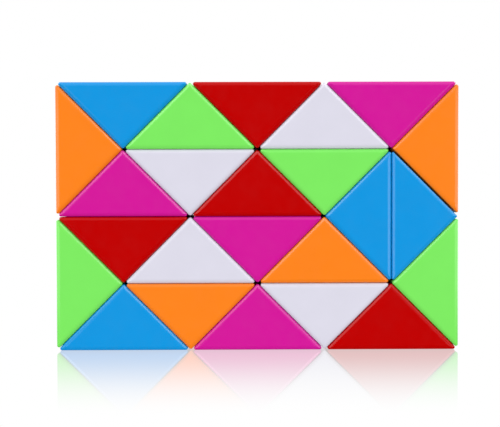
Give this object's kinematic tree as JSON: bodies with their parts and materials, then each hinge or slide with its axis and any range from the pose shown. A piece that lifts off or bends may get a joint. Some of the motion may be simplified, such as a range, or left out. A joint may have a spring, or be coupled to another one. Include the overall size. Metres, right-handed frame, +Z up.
{
  "type": "twisty snake puzzle",
  "caption": "Chain of equal triangular wedges joined by sprung twist pivots, folded flat into an upright rectangular block.",
  "frame": {"origin": "middle of the block's underside, on the surface it stands on", "axes": "+Z up, +X along the block's length to the right as seen from the front, +Y from front to back"},
  "size_m": [0.0868, 0.0204, 0.0579],
  "materials": {
    "blue_plastic": "glossy",
    "green_plastic": "glossy",
    "red_plastic": "glossy",
    "white_plastic": "glossy",
    "magenta_plastic": "glossy",
    "orange_plastic": "glossy",
    "pivot_steel": "satin"
  },
  "bodies": {
    "segment_01": {"wedge_01": "blue_plastic"},
    "segment_02": {"wedge_02": "green_plastic", "pivot_01": "pivot_steel"},
    "segment_03": {"wedge_03": "red_plastic", "pivot_02": "pivot_steel"},
    "segment_04": {"wedge_04": "white_plastic", "pivot_03": "pivot_steel"},
    "segment_05": {"wedge_05": "magenta_plastic", "pivot_04": "pivot_steel"},
    "segment_06": {"wedge_06": "orange_plastic", "pivot_05": "pivot_steel"},
    "segment_07": {"wedge_07": "blue_plastic", "pivot_06": "pivot_steel"},
    "segment_08": {"wedge_08": "green_plastic", "pivot_07": "pivot_steel"},
    "segment_09": {"wedge_09": "red_plastic", "pivot_08": "pivot_steel"},
    "segment_10": {"wedge_10": "white_plastic", "pivot_09": "pivot_steel"},
    "segment_11": {"wedge_11": "magenta_plastic", "pivot_10": "pivot_steel"},
    "segment_12": {"wedge_12": "orange_plastic", "pivot_11": "pivot_steel"},
    "segment_13": {"wedge_13": "blue_plastic", "pivot_12": "pivot_steel"},
    "segment_14": {"wedge_14": "green_plastic", "pivot_13": "pivot_steel"},
    "segment_15": {"wedge_15": "red_plastic", "pivot_14": "pivot_steel"},
    "segment_16": {"wedge_16": "white_plastic", "pivot_15": "pivot_steel"},
    "segment_17": {"wedge_17": "magenta_plastic", "pivot_16": "pivot_steel"},
    "segment_18": {"wedge_18": "orange_plastic", "pivot_17": "pivot_steel"},
    "segment_19": {"wedge_19": "blue_plastic", "pivot_18": "pivot_steel"},
    "segment_20": {"wedge_20": "green_plastic", "pivot_19": "pivot_steel"},
    "segment_21": {"wedge_21": "red_plastic", "pivot_20": "pivot_steel"},
    "segment_22": {"wedge_22": "white_plastic", "pivot_21": "pivot_steel"},
    "segment_23": {"wedge_23": "magenta_plastic", "pivot_22": "pivot_steel"},
    "segment_24": {"wedge_24": "orange_plastic", "pivot_23": "pivot_steel"}
  },
  "joints": [
    {"name": "twist_01", "type": "hinge", "parent": "segment_01", "child": "segment_02", "pos_m": [0.03624, 0, 0.02169], "axis": [0.7071, 0, -0.7071], "range_deg": [-0.5, 0.5]},
    {"name": "twist_02", "type": "hinge", "parent": "segment_02", "child": "segment_03", "pos_m": [0.03624, 0, 0.0072], "axis": [0.7071, 0, 0.7071], "range_deg": [-0.5, 0.5]},
    {"name": "twist_03", "type": "hinge", "parent": "segment_03", "child": "segment_04", "pos_m": [0.02174, 0, 0.0072], "axis": [-0.7071, 0, 0.7071], "range_deg": [-0.5, 0.5]},
    {"name": "twist_04", "type": "hinge", "parent": "segment_04", "child": "segment_05", "pos_m": [0.00725, 0, 0.0072], "axis": [-0.7071, 0, -0.7071], "range_deg": [-0.5, 0.5]},
    {"name": "twist_05", "type": "hinge", "parent": "segment_05", "child": "segment_06", "pos_m": [-0.00725, 0, 0.0072], "axis": [0.7071, 0, -0.7071], "range_deg": [-0.5, 0.5]},
    {"name": "twist_06", "type": "hinge", "parent": "segment_06", "child": "segment_07", "pos_m": [-0.02174, 0, 0.0072], "axis": [0.7071, 0, 0.7071], "range_deg": [-0.5, 0.5]},
    {"name": "twist_07", "type": "hinge", "parent": "segment_07", "child": "segment_08", "pos_m": [-0.03624, 0, 0.0072], "axis": [-0.7071, 0, 0.7071], "range_deg": [-0.5, 0.5]},
    {"name": "twist_08", "type": "hinge", "parent": "segment_08", "child": "segment_09", "pos_m": [-0.03624, 0, 0.02169], "axis": [0.7071, 0, 0.7071], "range_deg": [-0.5, 0.5]},
    {"name": "twist_09", "type": "hinge", "parent": "segment_09", "child": "segment_10", "pos_m": [-0.02174, 0, 0.02169], "axis": [-0.7071, 0, 0.7071], "range_deg": [-0.5, 0.5]},
    {"name": "twist_10", "type": "hinge", "parent": "segment_10", "child": "segment_11", "pos_m": [-0.00725, 0, 0.02169], "axis": [-0.7071, 0, -0.7071], "range_deg": [-0.5, 0.5]},
    {"name": "twist_11", "type": "hinge", "parent": "segment_11", "child": "segment_12", "pos_m": [0.00725, 0, 0.02169], "axis": [0.7071, 0, -0.7071], "range_deg": [-0.5, 0.5]},
    {"name": "twist_12", "type": "hinge", "parent": "segment_12", "child": "segment_13", "pos_m": [0.02174, 0, 0.02169], "axis": [-0.7071, 0, -0.7071], "range_deg": [-0.5, 0.5]},
    {"name": "twist_13", "type": "hinge", "parent": "segment_13", "child": "segment_14", "pos_m": [0.02174, 0, 0.03619], "axis": [0.7071, 0, -0.7071], "range_deg": [-0.5, 0.5]},
    {"name": "twist_14", "type": "hinge", "parent": "segment_14", "child": "segment_15", "pos_m": [0.00725, 0, 0.03619], "axis": [-0.7071, 0, -0.7071], "range_deg": [-0.5, 0.5]},
    {"name": "twist_15", "type": "hinge", "parent": "segment_15", "child": "segment_16", "pos_m": [-0.00725, 0, 0.03619], "axis": [0.7071, 0, -0.7071], "range_deg": [-0.5, 0.5]},
    {"name": "twist_16", "type": "hinge", "parent": "segment_16", "child": "segment_17", "pos_m": [-0.02174, 0, 0.03619], "axis": [0.7071, 0, 0.7071], "range_deg": [-0.5, 0.5]},
    {"name": "twist_17", "type": "hinge", "parent": "segment_17", "child": "segment_18", "pos_m": [-0.03624, 0, 0.03619], "axis": [-0.7071, 0, 0.7071], "range_deg": [-0.5, 0.5]},
    {"name": "twist_18", "type": "hinge", "parent": "segment_18", "child": "segment_19", "pos_m": [-0.03624, 0, 0.05068], "axis": [0.7071, 0, 0.7071], "range_deg": [-0.5, 0.5]},
    {"name": "twist_19", "type": "hinge", "parent": "segment_19", "child": "segment_20", "pos_m": [-0.02174, 0, 0.05068], "axis": [-0.7071, 0, 0.7071], "range_deg": [-0.5, 0.5]},
    {"name": "twist_20", "type": "hinge", "parent": "segment_20", "child": "segment_21", "pos_m": [-0.00725, 0, 0.05068], "axis": [-0.7071, 0, -0.7071], "range_deg": [-0.5, 0.5]},
    {"name": "twist_21", "type": "hinge", "parent": "segment_21", "child": "segment_22", "pos_m": [0.00725, 0, 0.05068], "axis": [0.7071, 0, -0.7071], "range_deg": [-0.5, 0.5]},
    {"name": "twist_22", "type": "hinge", "parent": "segment_22", "child": "segment_23", "pos_m": [0.02174, 0, 0.05068], "axis": [0.7071, 0, 0.7071], "continuous": true},
    {"name": "twist_23", "type": "hinge", "parent": "segment_23", "child": "segment_24", "pos_m": [0.03624, 0, 0.05068], "axis": [-0.7071, 0, 0.7071], "range_deg": [-0.5, 0.5]}
  ]
}
